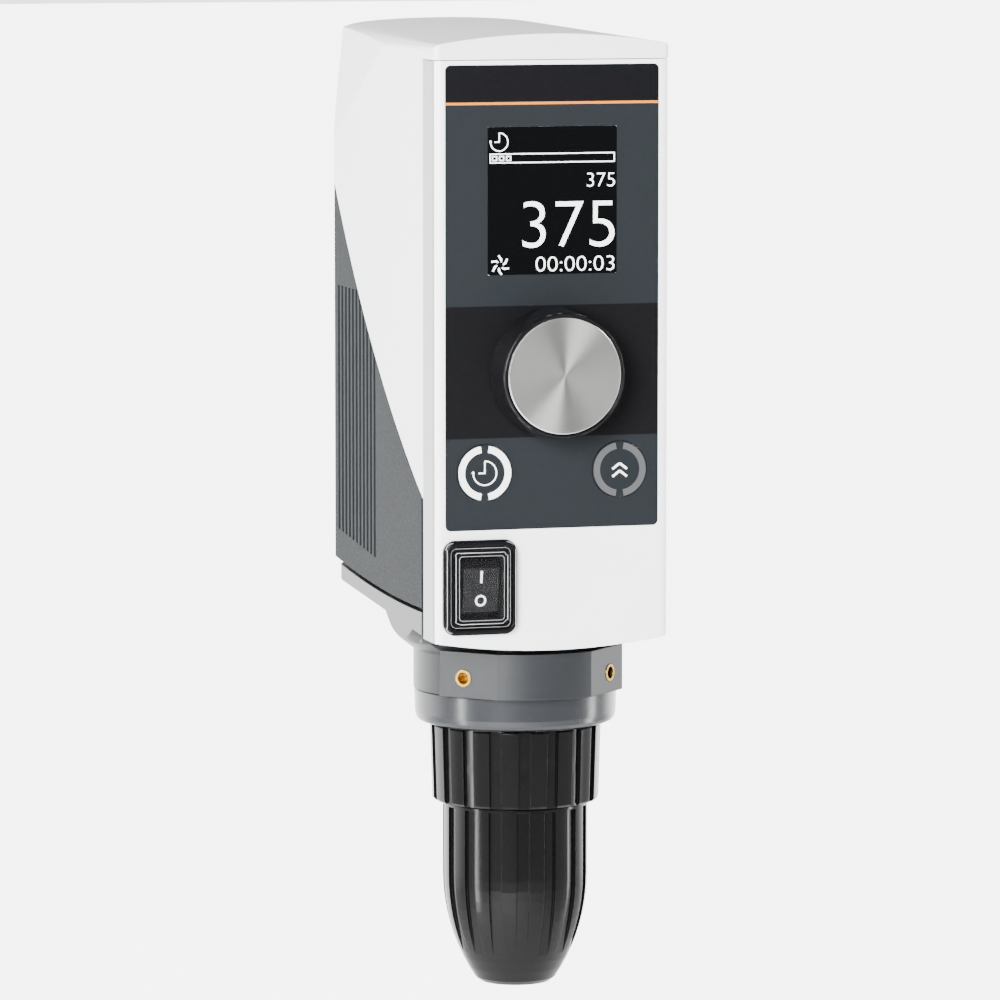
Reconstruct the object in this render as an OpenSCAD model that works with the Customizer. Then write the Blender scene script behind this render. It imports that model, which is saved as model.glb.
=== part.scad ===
// Laboratory overhead stirrer: drive head with control panel, hollow spindle and keyless chuck.
// The origin is the mouth of the support rod socket in the back. +Y leaves the back, +Z is up,
// so the control panel faces -Y and the chuck hangs down along -Z.

/* [Body] */
// Width across the side walls
body_w = 84; // [82:0.5:85]
// Distance from the rod socket mouth to the back wall
back_gap = 2; // [1.5:0.1:2.5]
// Distance from the rod socket mouth to the front face
front_reach = 141; // [140.5:0.1:141.5]
// Height of the roof crest above the rod socket at the front
roof_z = 178; // [177:0.5:179]
// How much higher the crest is at the back
roof_rise = 2; // [0:0.2:3]
// Drop of the roof from its crest to the side walls at the back
roof_drop_back = 8; // [7:0.5:10]
// Radius of the rounded ends of the front's top edge
top_corner_r = 1.8; // [1.5:0.1:2]
// Radius of the cover's upright front corners
cover_corner_r = 2; // [1:0.5:2.5]
// Radius of the arcs along the top and bottom of the front
front_arc_r = 240; // [220:5:260]
// Wall thickness of the mouldings
wall = 2.5; // [2.3:0.1:2.7]
// Radius of the upright corners at the back
back_corner_r = 6; // [5:0.5:7]
// Height of the fascia's bottom corners below the rod socket
fascia_drop = 30.5; // [30:0.5:31]
// Height of the fascia's top edge above the rod socket
fascia_top = 169; // [168.5:0.5:169.5]
// How far the fascia wraps round the sides
fascia_wrap = 15; // [14.5:0.5:15.5]
// Radius of the fascia's upright front corners
fascia_corner_r = 3; // [2.5:0.5:3]
// Width of the visible joints between mouldings
seam = 0.5; // [0.4:0.1:0.6]

/* [Split and ribs] */
// Radius of the curved split between cover and housing
split_r = 400; // [380:10:420]
// Height of the split at the back wall
split_back_z = 128; // [126:1:130]
// Height of the split where it meets the fascia
split_front_z = 18; // [16:1:20]
// Number of grooves between the cooling ribs on each side
rib_count = 11; // [8:1:11]
// Spacing of the cooling ribs
rib_pitch = 4.9; // [4.6:0.1:4.9]
// Width of a groove between ribs
rib_groove_w = 2.6; // [2:0.2:3]
// Depth of a groove
rib_groove_d = 1; // [0.8:0.1:1.5]
// Height of the rearmost groove's lower end
rib_foot_z = -4.6; // [-6:0.1:-4]

/* [Spindle and chuck] */
// Distance from the rod socket mouth to the spindle axis
spindle_reach = 96; // [95.5:0.5:96.5]
// Spindle radius in its bearings
spindle_r = 10; // [10:1:10]
// Radius of the hollow in the spindle
spindle_bore_r = 5.5; // [5.3:0.1:5.7]
// Radius of the largest shaft that the jaws take
grip_r = 5.25; // [5:0.05:5.25]
// Angle of the jaws to the spindle axis
jaw_tilt = 15; // [15:1:15]
// Travel of a jaw along its slope
jaw_travel = 13.9; // [12:0.1:13.9]
// Radius of the grip on the upper sleeve at its top
upper_sleeve_r = 30.1; // [29.5:0.1:30.5]
// Radius of the lower sleeve
lower_sleeve_r = 25.5; // [25:0.1:26]
// Number of flutes in the upper sleeve
upper_flutes = 18; // [12:1:18]
// Number of flutes in the lower sleeve
lower_flutes = 16; // [12:1:18]

/* [Gears] */
// Tooth module
tooth_module = 1.5; // [1.5:0.5:1.5]
// Teeth of the spindle gear
gear_teeth = 42; // [42:14:42]
// Teeth of the motor pinion
pinion_teeth = 14; // [14:14:14]

/* [Panel] */
// Width of the printed panel
panel_w = 76.2; // [75:0.1:77]
// Bottom of the printed panel
panel_z0 = 8.2; // [8:0.1:8.5]
// Top of the printed panel
panel_z1 = 167.4; // [167:0.1:167.5]
// Width of the display window
window_w = 46; // [44:0.5:47]
// Bottom of the display window
window_z0 = 95.8; // [95:0.1:96]
// Top of the display window
window_z1 = 146.3; // [146:0.1:147]
// Height of the speed knob's axis
knob_z = 62; // [61:0.5:63]
// Radius of the knob at the panel
knob_base_r = 22.8; // [22:0.1:23]
// Radius of the knob at its face
knob_face_r = 21.2; // [21:0.1:21.5]
// Distance that the knob stands out from the panel
knob_h = 15; // [14:0.5:16]
// Height of the two round keys
key_z = 27.9; // [27.5:0.1:28]
// Distance of each key from the middle
key_x = 24.2; // [24:0.1:24.5]
// Radius of a key
key_r = 9.7; // [9.5:0.1:9.8]
// Distance of the mains switch from the middle
switch_x = -26.2; // [-26.3:0.1:-25.8]
// Height of the mains switch
switch_z = -11.4; // [-11.6:0.1:-11]

/* [Hidden] */
$fn = 64;

half_w = body_w / 2;
front_y = -front_reach;
back_y = -back_gap;
wrap_y = front_y + fascia_wrap;
spindle_y = -spindle_reach;
fit = 0.02;
running = 0.06;

// The flat cheeks at the top of the back: a plane through three points, mirrored to both sides
cheek_low = [-half_w, back_y, 135];
cheek_kink = [-half_w, -71.6, 170.6];
cheek_top = [-half_w + 5, back_y, roof_z];
cheek_cross = cross(cheek_top - cheek_kink, cheek_low - cheek_kink);
cheek_n = cheek_cross / norm(cheek_cross);
cheek_pitch = asin(cheek_n.z);
cheek_yaw = -asin(cheek_n.y / cos(cheek_pitch));

// The split between cover and housing: an arc through two points, centred up and to the front
split_a = [back_y, split_back_z];
split_b = [wrap_y, split_front_z];
split_chord = norm(split_a - split_b);
split_mid = (split_a + split_b) / 2;
split_dir = (split_a - split_b) / split_chord;
split_rise = sqrt(split_r * split_r - split_chord * split_chord / 4);
split_centre = split_mid + split_rise * [-split_dir.y, split_dir.x];

// The joint between the housing and the drive casting: a long shallow arc
foot_r = 1000;
foot_centre = [-110, foot_r - 20.4];
foot_seam = 1.3;
wrap_gap = 1.8;

// Heights along the spindle
collar_bottom = -52.3;
ring_bottom = -64;
upper_sleeve_top = -65;
upper_sleeve_bottom = -92.3;
lower_sleeve_top = upper_sleeve_bottom - 0.3;
lower_sleeve_bottom = -157.3;
lower_bearing_z = -50;
gear_z = 8;
gear_h = 12;
plate_z = 24;
plate_h = 12;
motor_z = plate_z + plate_h;
motor_h = 64;
gear_pitch_r = tooth_module * gear_teeth / 2;
pinion_pitch_r = tooth_module * pinion_teeth / 2;
motor_y = spindle_y + gear_pitch_r + pinion_pitch_r;

// Collar round the lower bearing, with two flats in front for accessories
collar_r = 35.9;
collar_pad_r = 37.6;
collar_front_r = 40;
collar_pad_side = 9.5;
flare_front_y = -116;
insert_r = 3;
insert_core_r = 2.1;
insert_len = 9;
insert_z = -45.4;

// Chuck
chuck_body_r = 21;
chuck_body_top = -72;
chuck_cone_top = -118;
chuck_body_bottom = -136;
jaw_r = 4.5;
jaw_tip_z = -137;
jaw_tip_reach = 6.2;
jaw_len = 34;
jaw_close = jaw_travel * sin(jaw_tilt);
nose_arc_r = 68;
nose_start = -118.5;

// Posts that carry the gear plate, and screw places
post_spots = [[-31.5, -68], [31.5, -68], [-31.5, -20], [31.5, -20]];
post_r = 4.5;
foot_screw_spots = [[-36, -52, -22], [36, -52, -22], [-36, -32, -21], [36, -32, -21]];
back_screw_spots = [[-31, 158], [31, 158], [-31, 100], [31, 100], [-31, 6], [31, 6]];
inlet_z = 62;
inlet_screw_x = 20;

// A plan outline with its own corner radii at the front and at the back
module plan(hw, y_front, y_back, r_front, r_back) {
    for (side = [-1, 1]) {
        translate([side * (hw - r_front), y_front + r_front]) circle(r = r_front);
        translate([side * (hw - r_back), y_back - r_back]) circle(r = r_back);
    }
    polygon([
        [-hw + r_front, y_front], [hw - r_front, y_front], [hw, y_front + r_front], [hw, y_back - r_back],
        [hw - r_back, y_back], [-hw + r_back, y_back], [-hw, y_back - r_back], [-hw, y_front + r_front]
    ]);
}

module rounded_bar(w, h, r) {
    plan(w / 2, -h / 2, h / 2, r, r);
}

// Stands a flat outline up so that it faces the front, with its back at the given place
module facing_front(y, thick) {
    translate([0, y, 0]) rotate([90, 0, 0]) linear_extrude(thick) children();
}

// Lays an outline drawn in Y and Z across the body
module across(w) {
    rotate([90, 0, 90]) translate([0, 0, -w / 2]) linear_extrude(w) children();
}

module at_spindle() {
    translate([0, spindle_y, 0]) children();
}

module ring(r_out, r_in, z0, z1) {
    translate([0, 0, z0]) difference() {
        cylinder(r = r_out, h = z1 - z0);
        translate([0, 0, -1]) cylinder(r = r_in, h = z1 - z0 + 2);
    }
}

// Crowned roof lines: a shallow arc with small rounded ends in front, squarer shoulders at the back
function corner_drop(x, r) = abs(x) < half_w - r ? 0 : r - sqrt(max(0, r * r - pow(abs(x) - half_w + r, 2)));
function roof_front(x) = roof_z - x * x / (2 * front_arc_r) - corner_drop(x, top_corner_r);
function roof_back(x) = roof_z + roof_rise - roof_drop_back * (0.34 * pow(x / half_w, 2) + 0.66 * pow(x / half_w, 12));

module roof_slice(y, points) {
    facing_front(y + 0.05, 0.1) polygon(concat([[half_w, -60], [-half_w, -60]], points));
}

// Everything below the crowned roof
module roof_form() {
    steps = 26;
    xs = [for (i = [0 : steps]) half_w * sin(-90 + 180 * i / steps)];
    hull() {
        roof_slice(front_y - 1, [for (x = xs) [x, roof_front(x)]]);
        roof_slice(back_y + 1, [for (x = xs) [x, roof_back(x)]]);
    }
}

// Side view of the body, rounded at the top and bottom of the back
module side_outline(inset) {
    top_r = 3.5;
    foot_corner_r = 8;
    top_z = roof_z + roof_rise - inset;
    back = back_y - inset;
    translate([back - top_r, top_z - top_r]) circle(r = top_r);
    translate([back - foot_corner_r, -16 + foot_corner_r]) circle(r = foot_corner_r);
    polygon([
        [front_y + inset, -60], [back - foot_corner_r, -60], [back - foot_corner_r, -16],
        [back, -16 + foot_corner_r], [back, top_z - top_r], [back - top_r, top_z], [front_y + inset, top_z]
    ]);
}

module cheek_cut(inset) {
    translate(cheek_kink - inset * cheek_n) rotate([0, cheek_pitch, cheek_yaw]) translate([-30, -150, -150])
        cube([30, 300, 300]);
}

// The closed outer form of the mouldings, or its inside when inset by the wall
module body_form(inset) {
    difference() {
        intersection() {
            translate([0, 0, -60]) linear_extrude(250)
                plan(half_w - inset, front_y + inset, back_y - inset, cover_corner_r, back_corner_r - inset);
            translate([0, 0, -inset]) roof_form();
            across(200) side_outline(inset);
        }
        cheek_cut(inset);
        mirror([1, 0, 0]) cheek_cut(inset);
    }
}

module body_shell() {
    difference() {
        body_form(0);
        body_form(wall);
    }
}

module split_cylinder(r) {
    across(200) translate(split_centre) circle(r = r, $fn = 256);
}

module foot_cylinder(r) {
    across(200) translate(foot_centre) circle(r = r, $fn = 256);
}

module back_screw_holes(r) {
    for (p = back_screw_spots) translate([p.x, back_y + 1, p.y]) rotate([90, 0, 0]) cylinder(r = r, h = 20);
}

module back_screw_bosses(z_min, z_max) {
    for (p = back_screw_spots) {
        if (p.y > z_min && p.y < z_max) translate([p.x, back_y - wall + 0.5, p.y]) rotate([90, 0, 0])
            cylinder(r = 4.5, h = 7);
    }
}

module back_screw_recesses() {
    for (p = back_screw_spots) translate([p.x, back_y + 1, p.y]) rotate([90, 0, 0]) cylinder(r = 3.6, h = 2.2);
}

module top_cover() color("whitesmoke") {
    difference() {
        union() {
            intersection() {
                body_shell();
                split_cylinder(split_r);
                union() {
                    translate([-60, wrap_y + seam / 2, -60]) cube([120, 200, 300]);
                    translate([-60, front_y - 10, fascia_top + seam / 2]) cube([120, 200, 100]);
                }
            }
            back_screw_bosses(130, 200);
        }
        back_screw_holes(1.6);
        back_screw_recesses();
    }
}

// Grooves between the cooling ribs of one side; their feet follow the housing's lower edge
module rib_grooves() {
    for (i = [0 : rib_count - 1]) {
        y = back_y - 10 - i * rib_pitch;
        foot = rib_foot_z - i * 0.47;
        translate([-half_w - 1, y - rib_groove_w, foot]) cube([1 + rib_groove_d, rib_groove_w, 84 - foot]);
    }
}

module rear_housing() color("dimgray") {
    difference() {
        union() {
            intersection() {
                body_shell();
                foot_cylinder(foot_r);
                translate([-60, wrap_y + wrap_gap, -60]) cube([120, 200, 300]);
            }
            back_screw_bosses(-20, 110);
            intersection() {
                for (p = foot_screw_spots) translate([p.x, p.y, -22]) cylinder(r = 4.2, h = 16);
                foot_cylinder(foot_r);
            }
        }
        for (p = foot_screw_spots) translate([p.x, p.y, -22]) cylinder(r = 2 + fit, h = 15);
        split_cylinder(split_r + seam);
        rib_grooves();
        mirror([1, 0, 0]) rib_grooves();
        back_screw_holes(1.6);
        back_screw_recesses();
        translate([0, 5, 0]) rotate([90, 0, 0]) cylinder(r = 11.4, h = 20);
        translate([-14, -10, inlet_z - 10.4]) cube([28, 20, 20.8]);
        for (s = [-1, 1]) translate([s * inlet_screw_x, 5, inlet_z]) rotate([90, 0, 0]) cylinder(r = 1.6, h = 20);
    }
}

// The fascia's outline seen from the front, with its arched bottom
module fascia_front(inset) {
    bottom = -fascia_drop + inset;
    difference() {
        translate([-half_w + inset, bottom - 10]) square([body_w - 2 * inset, fascia_top - bottom + 10]);
        difference() {
            translate([-60, bottom - 30]) square([120, 40]);
            translate([0, bottom + sqrt(front_arc_r * front_arc_r - half_w * half_w)])
                circle(r = front_arc_r, $fn = 256);
        }
    }
}

module switch_place(y) {
    translate([switch_x, y, switch_z]) rotate([90, 0, 0]) children();
}

module front_fascia() color("white") {
    difference() {
        intersection() {
            translate([0, 0, -60]) linear_extrude(250)
                plan(half_w, front_y, wrap_y - seam / 2, fascia_corner_r, 0.3);
            facing_front(0, 200) fascia_front(0);
        }
        translate([0, 0, -60]) linear_extrude(fascia_top + 60 - wall)
            plan(half_w - wall, front_y + wall, 0, fascia_corner_r - 1, 1);
        facing_front(front_y + 0.8, 5) translate([0, (panel_z0 + panel_z1) / 2])
            rounded_bar(panel_w + 0.1, panel_z1 - panel_z0 + 0.1, 1.85);
        translate([-window_w / 2 + 1, front_y - 1, window_z0 + 1])
            cube([window_w - 2, 10, window_z1 - window_z0 - 2]);
        translate([0, front_y + 5, knob_z]) rotate([90, 0, 0]) cylinder(r = 3.6, h = 10);
        for (s = [-1, 1]) translate([s * key_x, front_y + 5, key_z]) rotate([90, 0, 0])
            cylinder(r = key_r + 0.2, h = 10);
        switch_place(front_y + 5) linear_extrude(10) rounded_bar(21, 27.6, 1);
    }
}

module control_panel() color("darkslategray") {
    difference() {
        facing_front(front_y + 0.8, 0.7) translate([0, (panel_z0 + panel_z1) / 2])
            rounded_bar(panel_w, panel_z1 - panel_z0, 1.8);
        translate([-window_w / 2 - 0.05, front_y - 5, window_z0 - 0.05])
            cube([window_w + 0.1, 10, window_z1 - window_z0 + 0.1]);
        translate([0, front_y + 5, knob_z]) rotate([90, 0, 0]) cylinder(r = 5, h = 10);
        for (s = [-1, 1]) translate([s * key_x, front_y + 5, key_z]) rotate([90, 0, 0])
            cylinder(r = key_r + 0.2, h = 10);
    }
}

module display_window() color("black") {
    facing_front(front_y + 0.8, 0.75) translate([0, (window_z0 + window_z1) / 2])
        rounded_bar(window_w, window_z1 - window_z0, 0.8);
}

board_front = front_y + 8.6;

module display_module() color("gray") {
    z_mid = (window_z0 + window_z1) / 2;
    translate([-25, front_y + wall + 0.1, z_mid - 29]) cube([50, 3.4, 58]);
    translate([-21.5, front_y + wall - 1.2, z_mid - 23.8]) cube([43, 2, 47.6]);
    translate([-26.5, front_y + wall + 3.4, z_mid - 31]) cube([53, board_front - front_y - wall - 3.5, 62]);
}

module display_board() color("darkgreen") {
    translate([-36, board_front, 21.5]) cube([72, 1.6, 138]);
    translate([-20, board_front + 1.5, 40]) cube([14, 2.2, 14]);
    translate([8, board_front + 1.5, 30]) cube([10, 3, 6]);
    translate([-32, board_front + 1.5, 135]) cube([30, 5, 6]);
}

module key_switches() color("silver") {
    for (s = [-1, 1]) translate([s * key_x, 0, key_z]) {
        translate([-3, board_front - 1.2, -3]) cube([6, 1.2, 6]);
        translate([0, board_front - 1.1, 0]) rotate([90, 0, 0]) cylinder(r = 1.7, h = 0.6);
    }
}

module encoder_body() color("dimgray") {
    difference() {
        union() {
            translate([-6.5, front_y + wall + 0.1, knob_z - 6.5]) cube([13, board_front - front_y - wall - 0.2, 13]);
            translate([0, front_y + wall + 1, knob_z]) rotate([90, 0, 0]) cylinder(r = 3.5, h = 4);
        }
        translate([0, 0, knob_z]) rotate([90, 0, 0]) cylinder(r = 3.06, h = 200);
        translate([0, front_y + wall + 8, knob_z]) rotate([90, 0, 0]) cylinder(r = 4.5, h = 5);
    }
}

// The washer inside the encoder that moves in with the shaft and closes its push contact
module encoder_plunger() color("gold") {
    translate([0, front_y + wall + 4.2, knob_z]) rotate([90, 0, 0]) difference() {
        cylinder(r = 4.2, h = 0.8);
        translate([0, 0, -1]) cylinder(r = 3.06, h = 3);
    }
}

knob_gap = 1;
knob_front_y = front_y - knob_h;

module encoder_shaft() color("silver") {
    translate([0, front_y + wall + 4.2, knob_z]) rotate([90, 0, 0]) difference() {
        cylinder(r = 3, h = 16);
        translate([-5, 1.6, 7.5]) cube([10, 5, 10]);
    }
}

module knob_skirt() color("black") {
    translate([0, 0, knob_z]) rotate([90, 0, 0]) difference() {
        rotate_extrude() polygon([
            [0, front_reach + knob_gap + 4], [8, front_reach + knob_gap + 4], [8, front_reach + knob_gap + 9],
            [knob_base_r - 2.4, front_reach + knob_gap + 9], [knob_base_r - 1.8, front_reach + knob_gap],
            [knob_base_r - 0.4, front_reach + knob_gap], [knob_base_r, front_reach + knob_gap + 0.6],
            [knob_face_r + 0.4, front_reach + knob_h - 0.9], [knob_face_r, front_reach + knob_h - 0.1],
            [knob_face_r - 0.8, front_reach + knob_h - 0.1], [knob_face_r - 0.8, front_reach + knob_h - 2.2],
            [0, front_reach + knob_h - 2.2]
        ]);
        intersection() {
            translate([0, 0, front_reach]) cylinder(r = 3 + fit, h = 12.7);
            translate([-5, -5 - 1.8 + 3.4 + 0.02, front_reach]) cube([10, 5, 20]);
        }
    }
}

module knob_cap() color("silver") {
    translate([0, 0, knob_z]) rotate([90, 0, 0]) rotate_extrude() polygon([
        [0, front_reach + knob_h - 2.2], [knob_face_r - 0.9, front_reach + knob_h - 2.2],
        [knob_face_r - 0.9, front_reach + knob_h - 0.4], [knob_face_r - 1.4, front_reach + knob_h],
        [0, front_reach + knob_h]
    ]);
}

// A round key: cap, retaining flange behind the fascia and stem to its switch
module key(x) {
    translate([x, 0, key_z]) rotate([90, 0, 0]) {
        translate([0, 0, front_reach - 2.9]) cylinder(r = key_r, h = 3.1);
        translate([0, 0, front_reach - 4]) cylinder(r = key_r + 1, h = 1.2);
        translate([0, 0, front_reach - 6.2]) cylinder(r = 2, h = 3);
    }
}

module timer_button() color("darkslategray") key(-key_x);

module max_button() color("darkslategray") key(key_x);

module switch_seal() color("dimgray") {
    switch_place(front_y) difference() {
        union() {
            linear_extrude(1.2) rounded_bar(26.2, 32.8, 4.4);
            linear_extrude(3.2) rounded_bar(24.9, 31.3, 3.7);
        }
        translate([0, 0, -1]) linear_extrude(5) rounded_bar(22.6, 28.8, 2.6);
    }
}

module switch_body() color("black") {
    switch_place(front_y) difference() {
        union() {
            linear_extrude(1.6) rounded_bar(22.4, 28.6, 2.4);
            translate([0, 0, -21]) linear_extrude(22) rounded_bar(20.8, 27.4, 0.9);
            for (z = [-8, 0, 8]) translate([-3, z - 0.4, -29]) cube([6, 0.8, 9]);
        }
        translate([-6.8, -10.8, -6]) cube([13.6, 21.6, 20]);
        translate([0, 0, -rocker_depth]) rotate([0, 90, 0]) cylinder(r = 1.56, h = 16.4, center = true);
    }
}

rocker_tilt = 8;
rocker_depth = 2.4;

// The rocker rests with its upper half pressed in
module switch_rocker() color("black") {
    switch_place(front_y) translate([0, 0, -rocker_depth]) rotate([rocker_tilt, 0, 0]) {
        translate([-6.4, 0, 0]) rotate([90, 0, 90]) linear_extrude(12.8) polygon([
            [-9.7, -0.8], [-4, -2.8], [4, -2.8], [9.7, -0.8], [9.9, 2.8], [7.8, 4.8], [-7.8, 4.8], [-9.9, 2.8]
        ]);
        rotate([0, 90, 0]) cylinder(r = 1.5, h = 16, center = true);
    }
}

module switch_boot() color("lightgray", 0.4) {
    switch_place(front_y) difference() {
        union() {
            translate([0, 0, 1.6]) linear_extrude(0.5) rounded_bar(22.4, 28.6, 2.4);
            translate([0, 0, 1.6]) linear_extrude(2) rounded_bar(19.2, 25, 3);
            translate([0, 0, 1.6]) linear_extrude(4.4) rounded_bar(15, 22.4, 1.8);
        }
        translate([0, 0, 1]) linear_extrude(2.1) rounded_bar(18.2, 24, 2.5);
        translate([0, 0, 1]) linear_extrude(4.6) rounded_bar(14.2, 21.6, 1.4);
    }
}

// Plan of the collar's front: two flats at 45 degrees joined by an arc
module collar_front_plan() {
    intersection() {
        circle(r = collar_front_r);
        rotate(-135) translate([-collar_pad_side, -collar_pad_side])
            square(collar_pad_r + collar_pad_side);
    }
}

module insert_place(angle) {
    at_spindle() rotate([0, 0, angle]) translate([0, -collar_pad_r, insert_z]) rotate([-90, 0, 0]) children();
}

// Outline of the foot plate in side view
module foot_outline() {
    rear = -11;
    r = 7;
    translate([rear - r, -23 + r]) circle(r = r);
    polygon([[-138, -30.3], [-127, -29.8], [rear - r, -23], [rear, -23 + r], [rear, 0], [-138, 0]]);
}

module foot_plate() {
    difference() {
        intersection() {
            across(200) foot_outline();
            translate([0, 0, -60]) linear_extrude(80) union() {
                plan(half_w, wrap_y + wrap_gap, -11, 0.3, 5);
                plan(half_w - wall - 0.4, front_y + wall + 0.4, -60, 2, 1);
            }
        }
        foot_cylinder(foot_r + foot_seam);
    }
}

// The underside swells from the foot plate down to the round collar, behind the accessory flats
module collar_flare() {
    intersection() {
        at_spindle() rotate_extrude() polygon([
            [0, -22], [49, -22], [48.1, -24], [45.7, -27.6], [43.4, -31.6], [41.2, -34.4], [36.2, -38.3], [0, -38.3]
        ]);
        translate([0, 0, -60]) linear_extrude(80) plan(half_w, flare_front_y, -11, 0.3, 5);
    }
    intersection() {
        at_spindle() translate([0, 0, -33.6]) cylinder(r = 43, h = 10);
        translate([0, 0, -60]) linear_extrude(80)
            plan(half_w - wall - 0.4, front_y + wall + 0.4, -72, 8, 16);
    }
}

module drive_casting() color("gray") {
    difference() {
        union() {
            foot_plate();
            collar_flare();
            at_spindle() translate([0, 0, collar_bottom]) cylinder(r = collar_r, h = 16);
            at_spindle() translate([0, 0, collar_bottom]) linear_extrude(16) collar_front_plan();
            for (p = post_spots) translate([p.x, p.y, -22]) cylinder(r = post_r, h = plate_z + 22);
            rotate([90, 0, 0]) cylinder(r = 11, h = 30);
            translate([-6, -30, -20]) cube([12, 17, 14]);
        }
        at_spindle() {
            translate([0, 0, collar_bottom - 1]) cylinder(r = 23.5 + fit, h = 17.3);
            translate([0, 0, -40]) cylinder(r = 15, h = 60);
        }
        rotate([90, 0, 0]) translate([0, 0, -1]) cylinder(r = 8 + fit, h = 29);
        for (a = [-45, 45]) insert_place(a) translate([0, 0, -5]) cylinder(r = insert_r + fit, h = insert_len + 5);
        for (p = post_spots) translate([p.x, p.y, plate_z - 14]) cylinder(r = 2 + fit, h = 20);
        for (p = foot_screw_spots) {
            translate([p.x, p.y, -60]) cylinder(r = 2.1, h = 80);
            translate([p.x, p.y, -60]) cylinder(r = 4, h = 60 + p.z);
        }
        translate([-38.2, -139, -26.4]) cube([25, 32, 30]);
    }
}

module rod_bush() color("silver") {
    rotate([90, 0, 0]) difference() {
        cylinder(r = 8, h = 28);
        translate([0, 0, -1]) cylinder(r = 4.25, h = 25);
    }
}

module thread_inserts() color("gold") {
    for (a = [-45, 45]) insert_place(a) difference() {
        translate([0, 0, -0.25]) cylinder(r = insert_r, h = insert_len);
        translate([0, 0, -2]) cylinder(r = insert_core_r, h = insert_len + 0.5);
    }
}

module collar_ring() color("gray") {
    at_spindle() rotate_extrude() polygon([
        [18.02, collar_bottom], [18.02, -62], [12, -62], [12, ring_bottom], [33.4, ring_bottom],
        [34.4, ring_bottom + 0.5], [35.1, ring_bottom + 1.6], [35.4, ring_bottom + 3.4],
        [35.6, collar_bottom - 0.5], [35.2, collar_bottom], [23.4, collar_bottom],
        [23.4, lower_bearing_z - 0.05], [20.4, lower_bearing_z - 0.05], [20.4, collar_bottom]
    ]);
}

module shaft_seal() color("black") {
    at_spindle() ring(18, spindle_r + running, -61.95, -55);
}

module spindle() color("silver") {
    at_spindle() difference() {
        rotate_extrude() polygon([
            [0, -86], [spindle_r, -86], [spindle_r, lower_bearing_z + 14], [12, lower_bearing_z + 14],
            [12, gear_z], [spindle_r, gear_z], [spindle_r, motor_z + 0.1], [9.4, motor_z + 0.1],
            [9.4, motor_z + 1.4], [spindle_r, motor_z + 1.4], [spindle_r, motor_z + 4],
            [spindle_r - 1, motor_z + 5], [0, motor_z + 5]
        ]);
        translate([0, 0, -90]) cylinder(r = spindle_bore_r, h = 120);
    }
}

module bearing_outer(r_out, r_race, pitch_r, ball_r, h) {
    rotate_extrude() difference() {
        translate([r_race, 0]) square([r_out - r_race, h]);
        translate([pitch_r, h / 2]) circle(r = ball_r + 0.1);
    }
}

module bearing_inner(r_in, r_race, pitch_r, ball_r, h) {
    rotate_extrude() difference() {
        translate([r_in, 0]) square([r_race - r_in, h]);
        translate([pitch_r, h / 2]) circle(r = ball_r + 0.1);
    }
}

// Balls held in a plain cage ring
module bearing_balls(pitch_r, ball_r, count, h) {
    ring(pitch_r + 1.2, pitch_r - 1.2, h / 2 - 1.5, h / 2 + 1.5);
    for (i = [0 : count - 1]) rotate([0, 0, i * 360 / count]) translate([pitch_r, 0, h / 2])
        sphere(r = ball_r);
}

module lower_bearing_outer() color("silver")
    at_spindle() translate([0, 0, lower_bearing_z]) bearing_outer(23.5, 20.2, 16.75, 3.97, 14);

module lower_bearing_balls() color("gold")
    at_spindle() translate([0, 0, lower_bearing_z]) bearing_balls(16.75, 3.97, 8, 14);

module lower_bearing_inner() color("silver")
    at_spindle() translate([0, 0, lower_bearing_z]) bearing_inner(spindle_r + fit, 13.3, 16.75, 3.97, 13.98);

module upper_bearing_outer() color("silver")
    at_spindle() translate([0, 0, plate_z]) bearing_outer(21, 18.2, 15.5, 3.17, 12);

module upper_bearing_balls() color("gold")
    at_spindle() translate([0, 0, plate_z]) bearing_balls(15.5, 3.17, 9, 12);

module upper_bearing_inner() color("silver")
    at_spindle() translate([0, 0, plate_z]) bearing_inner(spindle_r + fit, 12.8, 15.5, 3.17, 12);

// Involute teeth
pressure = 20;
function involute(a) = tan(a) * 180 / PI - a;
function flank_angle(r, pitch, base) = involute(pressure) - involute(acos(min(1, base / r)));
module gear_outline(teeth, backlash) {
    pitch = tooth_module * teeth / 2;
    base = pitch * cos(pressure);
    tip = pitch + 0.9 * tooth_module;
    root = pitch - 1.2 * tooth_module;
    half_tooth = 90 / teeth - backlash / pitch * 90 / PI;
    start = max(base, root);
    radii = [for (i = [0 : 4]) start + i * (tip - start) / 4];
    polygon([
        for (t = [0 : teeth - 1]) let (mid = t * 360 / teeth) each concat(
            [root * [cos(mid - half_tooth - involute(pressure)), sin(mid - half_tooth - involute(pressure))]],
            [for (r = radii) let (a = mid - half_tooth - flank_angle(r, pitch, base)) r * [cos(a), sin(a)]],
            [for (i = [4 : -1 : 0]) let (r = radii[i], a = mid + half_tooth + flank_angle(r, pitch, base))
                r * [cos(a), sin(a)]],
            [root * [cos(mid + half_tooth + involute(pressure)), sin(mid + half_tooth + involute(pressure))]]
        )
    ]);
}

module spindle_gear() color("tan") {
    at_spindle() rotate([0, 0, 90]) difference() {
        translate([0, 0, gear_z]) linear_extrude(gear_h) gear_outline(gear_teeth, 0.12);
        translate([0, 0, gear_z - 1]) cylinder(r = spindle_r + fit, h = 20);
        for (i = [0 : 5]) rotate([0, 0, i * 60]) translate([20, 0, gear_z - 1]) cylinder(r = 5, h = 20);
    }
}

module spindle_spacer() color("silver")
    at_spindle() ring(12.5, spindle_r + fit, gear_z + gear_h, plate_z);

module retaining_ring() color("black") {
    at_spindle() difference() {
        ring(11.2, 9.42, motor_z + 0.15, motor_z + 1.35);
        translate([0, -12, motor_z]) cube([5, 10, 10], center = true);
    }
}

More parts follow.
